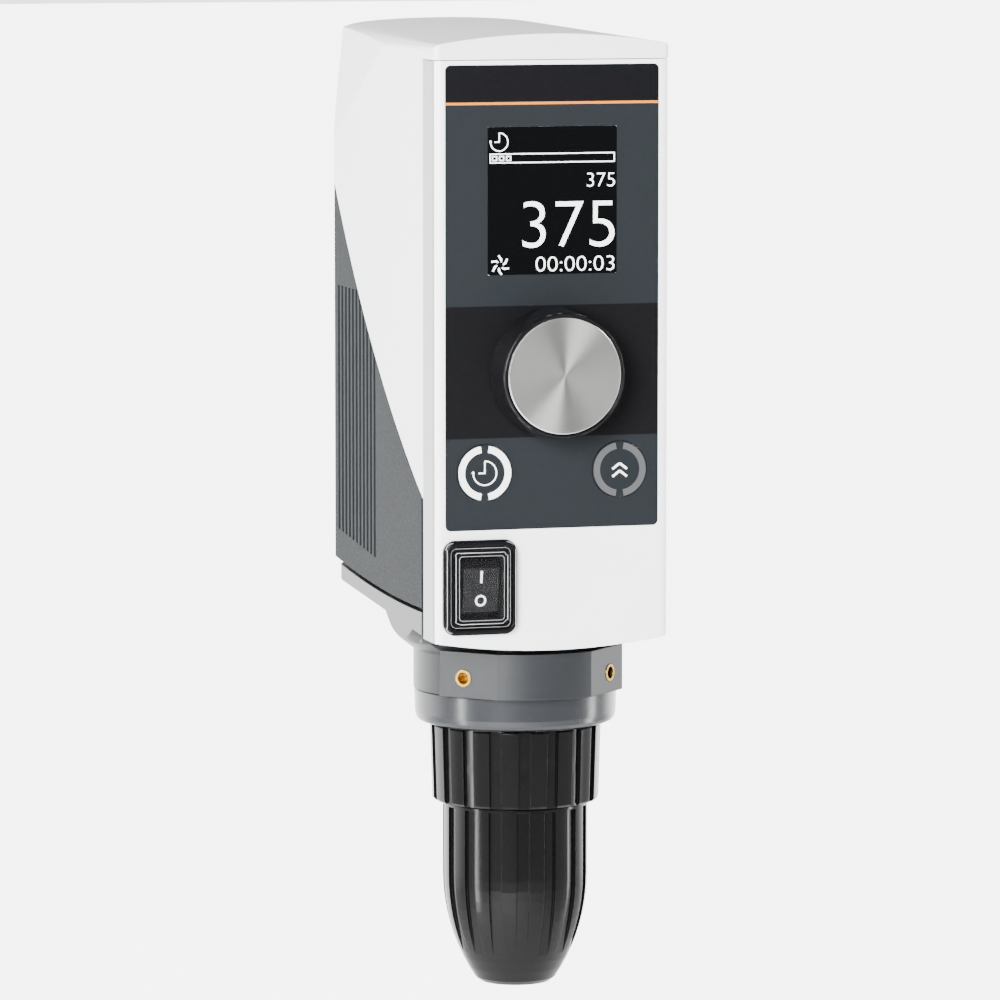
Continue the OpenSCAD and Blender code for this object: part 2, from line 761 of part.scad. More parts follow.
// Narrow grooves cut into the outside of a sleeve; the band says how deep and how far they go
module flutes(count, w, phase) {
    intersection() {
        children();
        union() {
            for (i = [0 : count - 1]) rotate([0, 0, i * 360 / count + phase]) translate([0, -w / 2, -170])
                cube([50, w, 120]);
        }
    }
}

module upper_sleeve() color("black") {
    low_r = upper_sleeve_r - 0.8;
    at_spindle() difference() {
        rotate_extrude() polygon([
            [spindle_r + fit, upper_sleeve_top - 3], [spindle_r + fit, upper_sleeve_top - 0.4],
            [upper_sleeve_r - 0.4, upper_sleeve_top], [upper_sleeve_r, upper_sleeve_top - 0.5],
            [low_r, upper_sleeve_bottom + 0.8], [low_r - 0.8, upper_sleeve_bottom],
            [chuck_body_r + fit, upper_sleeve_bottom], [chuck_body_r + fit, upper_sleeve_bottom + 3.5],
            [26.3, upper_sleeve_bottom + 3.5], [26.3, upper_sleeve_top - 3]
        ]);
        flutes(upper_flutes, 4.1, 80) rotate_extrude() polygon([
            [upper_sleeve_r - 1.2, upper_sleeve_top + 2], [low_r - 1.2, upper_sleeve_bottom - 2],
            [low_r + 5, upper_sleeve_bottom - 2], [upper_sleeve_r + 5, upper_sleeve_top + 2]
        ]);
    }
}

// Outer radius of the lower sleeve: straight, then a long ogive to the nose
function sleeve_r(z) = z > nose_start ? lower_sleeve_r
    : lower_sleeve_r - nose_arc_r + sqrt(nose_arc_r * nose_arc_r - (nose_start - z) * (nose_start - z));

nose_steps = 10;
nose_z = [for (i = [0 : nose_steps]) nose_start - i * (nose_start - lower_sleeve_bottom - 1.4) / nose_steps];

module lower_sleeve() color("black") {
    flute_end = -146;
    at_spindle() difference() {
        rotate_extrude() polygon(concat(
            [[chuck_body_r + running, lower_sleeve_top], [lower_sleeve_r - 0.5, lower_sleeve_top],
                [lower_sleeve_r, lower_sleeve_top - 0.5]],
            [for (z = nose_z) [sleeve_r(z), z]],
            [[sleeve_r(lower_sleeve_bottom + 1.4) - 1.8, lower_sleeve_bottom], [9.6, lower_sleeve_bottom],
                [9, lower_sleeve_bottom + 1], [11.5, -143], [14.2, -133], [chuck_body_r + 0.4, chuck_cone_top - 3],
                [22.52, chuck_cone_top - 3], [22.52, -104], [chuck_body_r + running, -104]]
        ));
        flutes(lower_flutes, 4.4, 79.9) rotate_extrude() polygon(concat(
            [[lower_sleeve_r + 5, lower_sleeve_top - 1.5], [lower_sleeve_r - 1.1, lower_sleeve_top - 1.5]],
            [for (i = [0 : 8]) let (z = nose_start - i * (nose_start - flute_end) / 8)
                [sleeve_r(z) - 1.1 * (1 - pow(i / 8, 4)), z]],
            [[lower_sleeve_r + 5, flute_end]]
        ));
    }
}

// One slanted jaw place; angle 0 faces the front
module jaw_place(i) {
    at_spindle() rotate([0, 0, i * 120]) translate([0, -jaw_tip_reach, jaw_tip_z]) rotate([jaw_tilt, 0, 0])
        children();
}

module chuck_body() color("silver") {
    difference() {
        at_spindle() difference() {
            union() {
                translate([0, 0, chuck_cone_top]) cylinder(r = chuck_body_r, h = chuck_body_top - chuck_cone_top);
                translate([0, 0, chuck_body_bottom])
                    cylinder(r1 = 12, r2 = chuck_body_r, h = chuck_cone_top - chuck_body_bottom);
            }
            translate([0, 0, -86]) cylinder(r = spindle_r + fit, h = 20);
            translate([0, 0, -140]) cylinder(r = spindle_bore_r, h = 60);
            ring(30, 16.6, -112.2, -105.8);
        }
        for (i = [0 : 2]) jaw_place(i) translate([0, 0, -10]) cylinder(r = jaw_r + running, h = jaw_len + 14);
    }
}

module jaw_nut() color("goldenrod")
    at_spindle() ring(22.5, 19.6, -112, -106);

// A jaw: a slanted bar, ground away to the grip radius and to a wedge so that three can close
module chuck_jaw(i) {
    difference() {
        jaw_place(i) translate([0, 0, -3]) cylinder(r = jaw_r, h = jaw_len + 3);
        at_spindle() {
            translate([0, 0, -200]) cylinder(r = grip_r, h = 200);
            rotate([0, 0, i * 120]) {
                translate([-20, -20, -200]) cube([40, 40, 200 + jaw_tip_z]);
                for (s = [-1, 1]) translate([0, -jaw_close - 0.2, -200]) rotate([0, 0, s * 30])
                    translate([-30, 0, 0]) cube([60, 30, 200]);
            }
        }
    }
}

module chuck_jaw_1() color("gray") chuck_jaw(0);

module chuck_jaw_2() color("gray") chuck_jaw(1);

module chuck_jaw_3() color("gray") chuck_jaw(2);

module gear_plate() color("lightgray") {
    difference() {
        translate([0, 0, plate_z]) linear_extrude(plate_h) plan(36, -122, -13, 10, 4);
        at_spindle() translate([0, 0, plate_z - 1]) cylinder(r = 21 + fit, h = 20);
        translate([0, motor_y, plate_z - 1]) cylinder(r = 13.5, h = 20);
        for (p = post_spots) translate([p.x, p.y, plate_z - 1]) cylinder(r = 2.1, h = 20);
        for (p = post_spots) translate([p.x, p.y, motor_z - 4.2]) cylinder(r = 3.7, h = 10);
        for (s = [-1, 1]) translate([s * 26, motor_y, plate_z + 3]) cube([9, 30, 40], center = true);
    }
}

module plate_screws() color("silver") {
    for (p = post_spots) translate([p.x, p.y, motor_z - 4.2]) difference() {
        union() {
            translate([0, 0, -18]) cylinder(r = 2, h = 18.1);
            cylinder(r = 3.5, h = 4);
        }
        translate([0, 0, 2]) cylinder(r = 1.7, h = 4, $fn = 6);
    }
}

motor_r = 30;
motor_shaft_r = 4;

module motor_can() color("dimgray") {
    translate([0, motor_y, 0]) difference() {
        translate([0, 0, motor_z]) cylinder(r = motor_r, h = motor_h);
        translate([0, 0, motor_z + 5]) cylinder(r = motor_r - 2.5, h = motor_h - 10);
        translate([0, 0, motor_z - 1]) cylinder(r = 8 + fit, h = motor_h + 2);
    }
}

module motor_stator() color("chocolate") {
    translate([0, motor_y, motor_z + 12]) difference() {
        cylinder(r = motor_r - 2.6, h = 40);
        translate([0, 0, -1]) cylinder(r = 17, h = 42);
        for (i = [0 : 8]) rotate([0, 0, i * 40]) translate([16, -1.5, -1]) cube([7, 3, 42]);
    }
}

module motor_rotor() color("silver") {
    translate([0, motor_y, 0]) {
        translate([0, 0, gear_z - 1]) cylinder(r = motor_shaft_r, h = motor_z + motor_h - gear_z + 3);
        translate([0, 0, motor_z + 13]) cylinder(r = 16.5, h = 38);
    }
}

module motor_pinion() color("tan") {
    translate([0, motor_y, gear_z]) rotate([0, 0, -90 + 180 / pinion_teeth]) difference() {
        linear_extrude(gear_h) gear_outline(pinion_teeth, 0.12);
        translate([0, 0, -1]) cylinder(r = motor_shaft_r + fit, h = gear_h + 2);
    }
}

module motor_bearings() color("silver") {
    for (z = [motor_z, motor_z + motor_h - 5]) translate([0, motor_y, 0])
        ring(8, motor_shaft_r + running, z, z + 5);
}

module board_bracket() color("lightgray") {
    for (s = [-1, 1]) {
        translate([s * 35 - 0.75, -76, motor_z]) cube([1.5, 40, 74]);
        translate([s * 33.1 - 2.6, -50, motor_z]) cube([5.2, 14, 1.5]);
    }
    translate([-35.75, -80, motor_z + 73]) cube([71.5, 60, 1.5]);
}

module drive_board() color("darkgreen") {
    translate([-35, -121, motor_z]) cube([70, 1.6, 124]);
    translate([-28, -119.5, 118]) cube([24, 14, 34]);
    translate([4, -119.5, 60]) cube([26, 5, 20]);
    for (z = [96, 110, 124]) translate([18, -119.5, z]) rotate([-90, 0, 0]) cylinder(r = 6, h = 20);
    translate([-30, -119.5, 50]) cube([30, 6, 8]);
}

module power_board() color("darkgreen") {
    z = motor_z + 80;
    translate([-34, -84, z]) cube([68, 70, 1.6]);
    translate([-28, -76, z + 1.5]) cube([26, 30, 26]);
    for (x = [8, 22]) translate([x, -66, z + 1.5]) cylinder(r = 6.5, h = 25);
    translate([2, -50, z + 1.5]) cube([24, 4, 18]);
    translate([-26, -34, z + 1.5]) cube([18, 12, 14]);
    for (p = [[-30, -80], [30, -80], [-30, -24], [30, -24]]) translate([p.x, p.y, motor_z + 74.5])
        cylinder(r = 2.5, h = z - motor_z - 74.5);
}

// Mains inlet with three flat pins in a recess
module power_inlet() color("black") {
    translate([0, 0, inlet_z]) difference() {
        union() {
            facing_front(-0.3, 1.7) rounded_bar(48, 24, 4);
            translate([-13.8, -18, -10.2]) cube([27.6, 16.5, 20.4]);
        }
        translate([-12.2, -16, -8.2]) cube([24.4, 20, 16.4]);
        for (s = [-1, 1]) translate([s * inlet_screw_x, 5, 0]) rotate([90, 0, 0]) cylinder(r = 1.65, h = 20);
    }
    for (p = [[0, 3.2], [-7, -1.5], [7, -1.5]]) translate([p.x - 1, -17, inlet_z + p.y - 2]) cube([2, 12, 4]);
}

// A pan-head screw pointing to -Z with its head on the plane z = 0
module pan_screw(r, len, head_r, head_h) {
    difference() {
        union() {
            translate([0, 0, -len]) cylinder(r = r, h = len + 0.1);
            cylinder(r = head_r, h = head_h);
        }
        translate([0, 0, head_h - 1]) rotate_extrude() polygon([[0, 0], [0.6, 0], [1.3, 1.2], [0, 1.2]]);
    }
}

module inlet_screws() color("silver") {
    for (s = [-1, 1]) translate([s * inlet_screw_x, -0.3, inlet_z]) rotate([-90, 0, 0])
        pan_screw(1.5, 6, 2.8, 1.2);
}

module housing_screws() color("silver") {
    for (p = back_screw_spots) translate([p.x, back_y - 1.2, p.y]) rotate([-90, 0, 0])
        pan_screw(1.5, 7, 3.3, 1.1);
}

module casting_screws() color("silver") {
    for (p = foot_screw_spots) translate(p) rotate([180, 0, 0]) pan_screw(2, 12, 3.7, 2.4);
}

top_cover();
rear_housing();
front_fascia();
control_panel();
display_window();
display_module();
display_board();
key_switches();
encoder_body();
encoder_plunger();
encoder_shaft();
knob_skirt();
knob_cap();
timer_button();
max_button();
switch_seal();
switch_body();
switch_rocker();
switch_boot();
drive_casting();
rod_bush();
thread_inserts();
collar_ring();
shaft_seal();
spindle();
lower_bearing_outer();
lower_bearing_balls();
lower_bearing_inner();
upper_bearing_outer();
upper_bearing_balls();
upper_bearing_inner();
spindle_gear();
spindle_spacer();
retaining_ring();
upper_sleeve();
lower_sleeve();
chuck_body();
jaw_nut();
chuck_jaw_1();
chuck_jaw_2();
chuck_jaw_3();
gear_plate();
plate_screws();
motor_can();
motor_stator();
motor_rotor();
motor_pinion();
motor_bearings();
board_bracket();
drive_board();
power_board();
power_inlet();
inlet_screws();
housing_screws();
casting_screws();
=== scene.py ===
"""Laboratory overhead stirrer: the looks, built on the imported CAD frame."""
import math

import bmesh
import bpy
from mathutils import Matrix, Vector
from mathutils.bvhtree import BVHTree


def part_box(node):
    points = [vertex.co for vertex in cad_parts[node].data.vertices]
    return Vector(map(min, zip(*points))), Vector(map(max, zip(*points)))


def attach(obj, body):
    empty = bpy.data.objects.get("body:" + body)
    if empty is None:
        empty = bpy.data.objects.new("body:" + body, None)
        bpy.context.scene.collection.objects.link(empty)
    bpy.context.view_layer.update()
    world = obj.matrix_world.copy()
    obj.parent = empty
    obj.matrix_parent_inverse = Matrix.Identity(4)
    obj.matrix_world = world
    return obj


MM = 0.001
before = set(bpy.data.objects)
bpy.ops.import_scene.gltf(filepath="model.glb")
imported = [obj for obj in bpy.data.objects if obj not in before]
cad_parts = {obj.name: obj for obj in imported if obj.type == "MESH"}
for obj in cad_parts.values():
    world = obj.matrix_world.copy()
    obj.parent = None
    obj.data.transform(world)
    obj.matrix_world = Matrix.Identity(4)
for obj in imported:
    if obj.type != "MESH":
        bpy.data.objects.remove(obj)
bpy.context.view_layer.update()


def centre(node):
    """The middle of a node's box, in millimetres."""
    return [(low + high) / 2 / MM for low, high in zip(*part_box(node))]


# ---------------------------------------------------------------- node helpers
def new_material(name):
    m = bpy.data.materials.new(name)
    m.use_nodes = True
    t = m.node_tree
    t.nodes.clear()
    out = t.nodes.new("ShaderNodeOutputMaterial")
    bsdf = t.nodes.new("ShaderNodeBsdfPrincipled")
    t.links.new(bsdf.outputs["BSDF"], out.inputs["Surface"])
    return m, t, bsdf


def object_coords(t):
    return t.nodes.new("ShaderNodeTexCoord").outputs["Object"]


def noise(t, coords, scale, detail=3.0, rough=0.5):
    n = t.nodes.new("ShaderNodeTexNoise")
    n.inputs["Scale"].default_value = scale
    n.inputs["Detail"].default_value = detail
    n.inputs["Roughness"].default_value = rough
    t.links.new(coords, n.inputs["Vector"])
    return n.outputs["Fac"]


def remap(t, value, start, stop, low, high, shape="LINEAR"):
    """The value's run from start to stop, carried over to the run from low to high."""
    r = t.nodes.new("ShaderNodeMapRange")
    r.interpolation_type = shape
    for key, number in (("From Min", start), ("From Max", stop), ("To Min", low), ("To Max", high)):
        r.inputs[key].default_value = number
    t.links.new(value, r.inputs["Value"])
    return r.outputs["Result"]


def spread(t, value, low, high):
    """Noise mostly lies between 0.3 and 0.7, and this stretches that over low to high."""
    return remap(t, value, 0.3, 0.7, low, high)


def connect(t, value, socket):
    """A socket takes either a link from another node or a plain number."""
    if hasattr(value, "links"):
        t.links.new(value, socket)
    else:
        socket.default_value = value


def calculate(t, operation, *values):
    m = t.nodes.new("ShaderNodeMath")
    m.operation = operation
    for value, socket in zip(values, m.inputs):
        connect(t, value, socket)
    return m.outputs[0]


def mix_colors(t, fac, a, b):
    m = t.nodes.new("ShaderNodeMix")
    m.data_type = "RGBA"
    for socket, value in ((6, a), (7, b)):
        connect(t, value if hasattr(value, "links") else (*value, 1.0), m.inputs[socket])
    t.links.new(fac, m.inputs[0])
    return m.outputs[2]


def shade(color, factor):
    return tuple(min(1.0, c * factor) for c in color)


def bumped(t, bsdf, height, strength, distance, edge):
    """Fine relief from a height, over edges rounded by this many millimetres."""
    b = t.nodes.new("ShaderNodeBump")
    b.inputs["Strength"].default_value = strength
    b.inputs["Distance"].default_value = distance * MM
    t.links.new(height, b.inputs["Height"])
    if edge:
        v = t.nodes.new("ShaderNodeBevel")
        v.samples = 4
        v.inputs["Radius"].default_value = edge * MM
        t.links.new(v.outputs["Normal"], b.inputs["Normal"])
    t.links.new(b.outputs["Normal"], bsdf.inputs["Normal"])


def split_axes(t, coords):
    s = t.nodes.new("ShaderNodeSeparateXYZ")
    t.links.new(coords, s.inputs["Vector"])
    return s.outputs


def above(t, value, level):
    return calculate(t, "GREATER_THAN", value, level)


# ---------------------------------------------------------------- kinds of surface
def moulded(name, color, rough, grain=900.0, strength=0.15, vary=0.06, coat=0.0, metal=0.0, edge=0.35,
            shine=0.5):
    """A surface with slight colour drift, a fine skin and softened edges."""
    m, t, bsdf = new_material(name)
    coords = object_coords(t)
    drift = noise(t, coords, 35.0, 2.0)
    fine = noise(t, coords, grain, 4.0, 0.6)
    tint = mix_colors(t, spread(t, drift, 0.0, 1.0), shade(color, 1.0 - vary), shade(color, 1.0 + vary))
    t.links.new(tint, bsdf.inputs["Base Color"])
    t.links.new(spread(t, fine, rough * 0.88, min(1.0, rough * 1.12)), bsdf.inputs["Roughness"])
    bsdf.inputs["Metallic"].default_value = metal
    bsdf.inputs["Specular IOR Level"].default_value = shine
    bsdf.inputs["Coat Weight"].default_value = coat
    bsdf.inputs["Coat Roughness"].default_value = 0.08
    bumped(t, bsdf, fine, strength, 0.02, edge)
    return m


def printed_film(name):
    """The front film: a darker knob band, then an orange line under a dark head band."""
    m, t, bsdf = new_material(name)
    coords = object_coords(t)
    height = split_axes(t, coords)["Z"]
    main = (0.0105, 0.0125, 0.0145)
    knob_band = (0.0032, 0.0032, 0.0040)
    orange = (0.50, 0.17, 0.025)
    head_band = (0.0030, 0.0030, 0.0040)
    color = main
    for start, next_color in ((39.8, knob_band), (85.1, main), (153.9, orange), (154.77, head_band)):
        color = mix_colors(t, above(t, height, start * MM), color, next_color)
    fine = noise(t, coords, 1500.0, 4.0, 0.6)
    t.links.new(mix_colors(t, spread(t, fine, 0.0, 0.01), color, (0.1, 0.1, 0.1)), bsdf.inputs["Base Color"])
    t.links.new(spread(t, fine, 0.40, 0.50), bsdf.inputs["Roughness"])
    bsdf.inputs["Specular IOR Level"].default_value = 0.07
    bumped(t, bsdf, fine, 0.08, 0.01, 0.15)
    return m


def fascia_white(name):
    """The fascia is bright on its face and darker on its two narrow sides, beyond rim_from from the middle:
    that darker colour is painted shade.
    """
    m = moulded(name, (0.93, 0.935, 0.94), rough=0.32, grain=700, strength=0.04, vary=0.01, coat=0.1,
                edge=0.5)
    rim_from = 41.6
    # Painted shade: the narrow sides get this dark colour for the shade they lie in.
    rim_painted_shade_grey = (0.26, 0.265, 0.27)
    t = m.node_tree
    bsdf = t.nodes["Principled BSDF"]
    face = bsdf.inputs["Base Color"].links[0].from_socket
    from_middle = calculate(t, "ABSOLUTE", split_axes(t, object_coords(t))["X"])
    on_rim_painted_shade = above(t, from_middle, rim_from * MM)
    t.links.new(mix_colors(t, on_rim_painted_shade, face, rim_painted_shade_grey), bsdf.inputs["Base Color"])
    return m


def turned_metal(name, color, rough, axis, rings, aniso):
    """Metal turned round the knob's axis (Y) or the spindle's (Z): fine rings and a fan of light."""
    m, t, bsdf = new_material(name)
    coords = object_coords(t)
    place = t.nodes.new("ShaderNodeMapping")
    knob_height, spindle_depth = centre("knob_cap")[2], centre("spindle")[1]
    place.inputs["Location"].default_value = (
        (0.0, 0.0, -knob_height * MM) if axis == "Y" else (0.0, -spindle_depth * MM, 0.0))
    t.links.new(coords, place.inputs["Vector"])
    wave = t.nodes.new("ShaderNodeTexWave")
    wave.wave_type = "RINGS"
    wave.rings_direction = axis
    wave.inputs["Scale"].default_value = rings
    wave.inputs["Distortion"].default_value = 1.5
    wave.inputs["Detail"].default_value = 3.0
    t.links.new(place.outputs["Vector"], wave.inputs["Vector"])
    tint = mix_colors(t, wave.outputs["Fac"], shade(color, 0.94), shade(color, 1.02))
    t.links.new(tint, bsdf.inputs["Base Color"])
    t.links.new(spread(t, wave.outputs["Fac"], rough * 0.85, rough * 1.2), bsdf.inputs["Roughness"])
    bsdf.inputs["Metallic"].default_value = 1.0
    bsdf.inputs["Anisotropic"].default_value = aniso
    tangent = t.nodes.new("ShaderNodeTangent")
    tangent.direction_type = "RADIAL"
    tangent.axis = axis
    t.links.new(tangent.outputs["Tangent"], bsdf.inputs["Tangent"])
    bumped(t, bsdf, wave.outputs["Fac"], 0.015, 0.01, 0.2)
    return m


def glowing(name, color, strength):
    """Ink that glows, a little uneven as pixels are: lit display ink on the screen, and a painted glow on
    printed marks.
    """
    m, t, bsdf = new_material(name)
    fine = noise(t, object_coords(t), 2500.0, 1.0)
    tint = mix_colors(t, spread(t, fine, 0.0, 1.0), shade(color, 0.93), color)
    t.links.new(tint, bsdf.inputs["Base Color"])
    t.links.new(tint, bsdf.inputs["Emission Color"])
    bsdf.inputs["Emission Strength"].default_value = strength
    bsdf.inputs["Roughness"].default_value = 0.5
    return m


def clear_skin(name):
    """The clear boot over the rocker: soft, glossy and slightly cloudy."""
    m, t, bsdf = new_material(name)
    cloud = noise(t, object_coords(t), 260.0, 3.0)
    tint = mix_colors(t, spread(t, cloud, 0.0, 1.0), (0.02, 0.021, 0.022), (0.04, 0.041, 0.042))
    t.links.new(tint, bsdf.inputs["Base Color"])
    t.links.new(spread(t, cloud, 0.06, 0.14), bsdf.inputs["Roughness"])
    bsdf.inputs["Alpha"].default_value = 0.07
    bsdf.inputs["Specular IOR Level"].default_value = 0.3
    bumped(t, bsdf, cloud, 0.08, 0.03, 0.0)
    return m


# ---------------------------------------------------------------- materials
def make_plastics():
    film_grey = (0.0105, 0.0125, 0.0145)
    return {
        "cover": moulded("cover_white", (0.82, 0.83, 0.84), rough=0.38, grain=700, strength=0.05,
                         vary=0.012, edge=0.6),
        "fascia": fascia_white("fascia_white"),
        "housing": moulded("housing_grey", (0.0125, 0.0145, 0.0160), rough=0.55, grain=1100, strength=0.30,
                           vary=0.05, edge=0.3, shine=0.04),
        "film": printed_film("front_film"),
        "window": moulded("window_dark", (0.0015, 0.0017, 0.002), rough=0.12, grain=400, strength=0.01,
                          vary=0.02, edge=0.0, shine=0.12),
        "key": moulded("key_film", film_grey, rough=0.45, grain=1500, strength=0.08, vary=0.03, edge=0.15,
                       shine=0.07),
        "sleeve": moulded("sleeve_black", (0.0026, 0.0026, 0.0028), rough=0.17, grain=900, strength=0.04,
                          vary=0.08, edge=0.45, shine=0.15),
        "gloss": moulded("switch_black", (0.004, 0.004, 0.0045), rough=0.13, grain=600, strength=0.04,
                         vary=0.08, edge=0.45, shine=0.22),
        "boot": clear_skin("clear_boot_skin"),
        # A pale colour for the painted highlight tubes along the switch's seal and boot edges.
        "painted_highlight_loop": moulded("boot_edge", (0.34, 0.35, 0.36), rough=0.14, grain=600, strength=0.02, vary=0.1,
                       edge=0.0),
        "rubber": moulded("matt_rubber", (0.010, 0.010, 0.011), rough=0.7, strength=0.3, vary=0.08,
                          shine=0.3),
        "board": moulded("board_green", (0.008, 0.06, 0.028), rough=0.4, grain=500, vary=0.15),
        "gear": moulded("gear_nylon", (0.62, 0.54, 0.36), rough=0.45, grain=700, vary=0.05),
    }


def make_metals():
    return {
        "casting": moulded("painted_casting", (0.0125, 0.0140, 0.0160), rough=0.34, grain=1000,
                           strength=0.06, vary=0.04, edge=0.5, shine=0.34),
        "ring": moulded("ring_coated", (0.0130, 0.0145, 0.0170), rough=0.24, grain=900, strength=0.02,
                        vary=0.04, edge=0.5, shine=0.42),
        "knob": turned_metal("knob_spun", (0.70, 0.695, 0.68), rough=0.22, axis="Y", rings=520.0,
                             aniso=0.92),
        "steel": turned_metal("steel_turned", (0.55, 0.55, 0.56), rough=0.26, axis="Z", rings=360.0,
                              aniso=0.5),
        "brass": turned_metal("brass_turned", (0.40, 0.25, 0.045), rough=0.24, axis="Z", rings=300.0,
                              aniso=0.3),
        "dark_steel": moulded("oxide_steel", (0.035, 0.035, 0.04), rough=0.38, grain=800, vary=0.1,
                              metal=0.9),
        "sheet": moulded("plated_sheet", (0.5, 0.51, 0.52), rough=0.36, grain=300, strength=0.1, vary=0.08,
                         metal=1.0),
        "bare": moulded("bare_alloy", (0.5, 0.51, 0.52), rough=0.5, grain=600, strength=0.4, vary=0.08,
                        metal=0.9),
        "copper": moulded("winding", (0.55, 0.22, 0.08), rough=0.32, grain=1200, strength=0.6, vary=0.15,
                          metal=0.8),
    }


def make_inks():
    return {
        # The printed marks' inks glow too, which is a painted glow; only screen_ink is a lit display.
        "white_ink_painted_glow": glowing("white_ink_painted_glow", (0.92, 0.93, 0.94), 0.3),
        "grey_ink_painted_glow": glowing("grey_ink_painted_glow", (0.050, 0.052, 0.055), 0.02),
        "screen_ink": glowing("screen_ink", (0.95, 0.96, 0.97), 0.8),
    }


# The look of each material slot in the record, and of the nodes that differ from their slot.
SLOT_LOOK = {
    "white_plastic": "cover", "grey_plastic": "housing", "panel_film": "film", "black_plastic": "gloss",
    "window": "window", "clear_boot": "boot", "casting": "casting", "bright_steel": "steel",
    "spun_aluminium": "knob", "brass": "brass", "rubber": "rubber", "circuit": "board",
    "gear_plastic": "gear", "dark_steel": "dark_steel", "copper": "copper", "sheet_steel": "sheet",
    "bare_casting": "bare",
}
NODE_LOOK = {
    "front_fascia": "fascia", "timer_button": "key", "max_button": "key", "collar_ring": "ring",
    "upper_sleeve": "sleeve", "lower_sleeve": "sleeve", "switch_seal": "gloss",
}


def dress(look):
    """Give every CAD node its material."""
    for name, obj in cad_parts.items():
        for s in obj.material_slots:
            key = NODE_LOOK.get(name)
            if key is None:
                slot_name = s.material.name.split(".")[0] if s.material else "grey_plastic"
                key = SLOT_LOOK.get(slot_name, "housing")
            s.material = look[key]


# ---------------------------------------------------------------- marks laid on a surface
def add_piece(name, data, body):
    """An object from this mesh or curve, which rides on a body."""
    obj = bpy.data.objects.new(name, data)
    bpy.context.scene.collection.objects.link(obj)
    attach(obj, body)


def front_tree(node):
    return BVHTree.FromObject(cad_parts[node], bpy.context.evaluated_depsgraph_get())


def front_of(tree, x, z, otherwise):
    """The depth in metres at which a line from the front meets a node, at X and Z in millimetres."""
    start = Vector((x * MM, -0.3, z * MM))
    hit = tree.ray_cast(start, Vector((0, 1, 0)))[0]
    return hit.y if hit else otherwise


def lay(name, body, node, look, shapes, thick=0.06, front=None):
    """Flat shapes in X and Z (mm) dropped on a node's front face, each a thin raised plate."""
    tree = None if front is not None else front_tree(node)
    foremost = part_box(node)[0][1]
    bm = bmesh.new()
    for outline in shapes:
        rows = []
        for lift in (0.0, thick):
            row = []
            for x, z in outline:
                y = front if tree is None else front_of(tree, x, z, foremost) / MM
                row.append(bm.verts.new((x * MM, (y - lift) * MM, z * MM)))
            rows.append(row)
        back, face = rows
        bm.faces.new(face)
        bm.faces.new(list(reversed(back)))
        n = len(face)
        for i in range(n):
            bm.faces.new((face[i], back[i], back[(i + 1) % n], face[(i + 1) % n]))
    bmesh.ops.recalc_face_normals(bm, faces=bm.faces)
    mesh = bpy.data.meshes.new(name)
    bm.to_mesh(mesh)
    bm.free()
    mesh.materials.append(look)
    add_piece(name, mesh, body)


def arc(cx, cz, inner, outer, start, end, steps=14):
    """Short quads along a ring, from start to end in degrees anticlockwise from +X."""
    quads = []
    for i in range(steps):
        a = math.radians(start + (end - start) * i / steps)
        b = math.radians(start + (end - start) * (i + 1) / steps)
        quads.append([(cx + r * math.cos(w), cz + r * math.sin(w))
                      for r, w in ((inner, a), (outer, a), (outer, b), (inner, b))])
    return quads


def bar(x0, z0, x1, z1):
    return [[(x0, z0), (x1, z0), (x1, z1), (x0, z1)]]


def line(x0, z0, x1, z1, width):
    dx, dz = x1 - x0, z1 - z0
    n = math.hypot(dx, dz)
    ox, oz = -dz / n * width / 2, dx / n * width / 2
    return [[(x0 + ox, z0 + oz), (x0 - ox, z0 - oz), (x1 - ox, z1 - oz), (x1 + ox, z1 + oz)]]


def frame_box(x0, z0, x1, z1, w):
    """The four sides of a hollow box, in strokes of width w."""
    level = bar(x0, z0, x1, z0 + w) + bar(x0, z1 - w, x1, z1)
    upright = bar(x0, z0, x0 + w, z1) + bar(x1 - w, z0, x1, z1)
    return level + upright


def clock(cx, cz, r, w):
    """A dial left open at its upper left, with two hands and an arrow head."""
    marks = arc(cx, cz, r - w, r, -180, 90, 24)
    marks += line(cx, cz - w / 2, cx, cz + r * 0.93, w) + line(cx, cz, cx - r * 0.5, cz, w)
    px = cx - r + w / 2
    marks.append([(px - 1.3 * w, cz - 0.1 * w), (px + 1.3 * w, cz - 0.1 * w), (px, cz + 1.7 * w)])
    return marks


def fan(cx, cz, r):
    """Six swept blades. A blade's points are a share of the radius and an angle in radians."""
    blade = ((0.30, -0.1), (0.62, 0.15), (1.0, 0.62), (0.92, 0.78), (0.55, 0.55), (0.30, 0.35))
    marks = []
    for k in range(6):
        a = math.radians(60 * k)
        marks.append([(cx + r * q * math.cos(a + w), cz + r * q * math.sin(a + w)) for q, w in blade])
    return marks


def digit_mesh(name, words, look):
    """Digits of any size, lying flat, with strokes a little thinner than the letter form."""
    c = bpy.data.curves.new(name, "FONT")
    c.body = words
    c.align_x = "RIGHT"
    c.size = 1.0
    c.extrude = 0.01 * MM
    c.offset = -0.012
    c.materials.append(look)
    o = bpy.data.objects.new(name, c)
    bpy.context.scene.collection.objects.link(o)
    bpy.context.view_layer.update()
    mesh = bpy.data.meshes.new_from_object(o.evaluated_get(bpy.context.evaluated_depsgraph_get()))
    bpy.data.objects.remove(o)
    return mesh


def digits(name, words, right, base, height, width, front, look):
    """Digits turned to face the front, fitted to a height and a width and set flush right."""
    proud = 0.03
    mesh = digit_mesh(name, words, look)
    xs = [v.co.x for v in mesh.vertices]
    ys = [v.co.y for v in mesh.vertices]
    sx, sz = width / (max(xs) - min(xs)), height / (max(ys) - min(ys))
    for v in mesh.vertices:
        x = right + (v.co.x - max(xs)) * sx
        y = front - (proud if v.co.z > 0 else 0.0)
        z = base + (v.co.y - min(ys)) * sz
        v.co = Vector((x * MM, y * MM, z * MM))
    if not mesh.materials:
        mesh.materials.append(look)
    add_piece(name, mesh, "head")


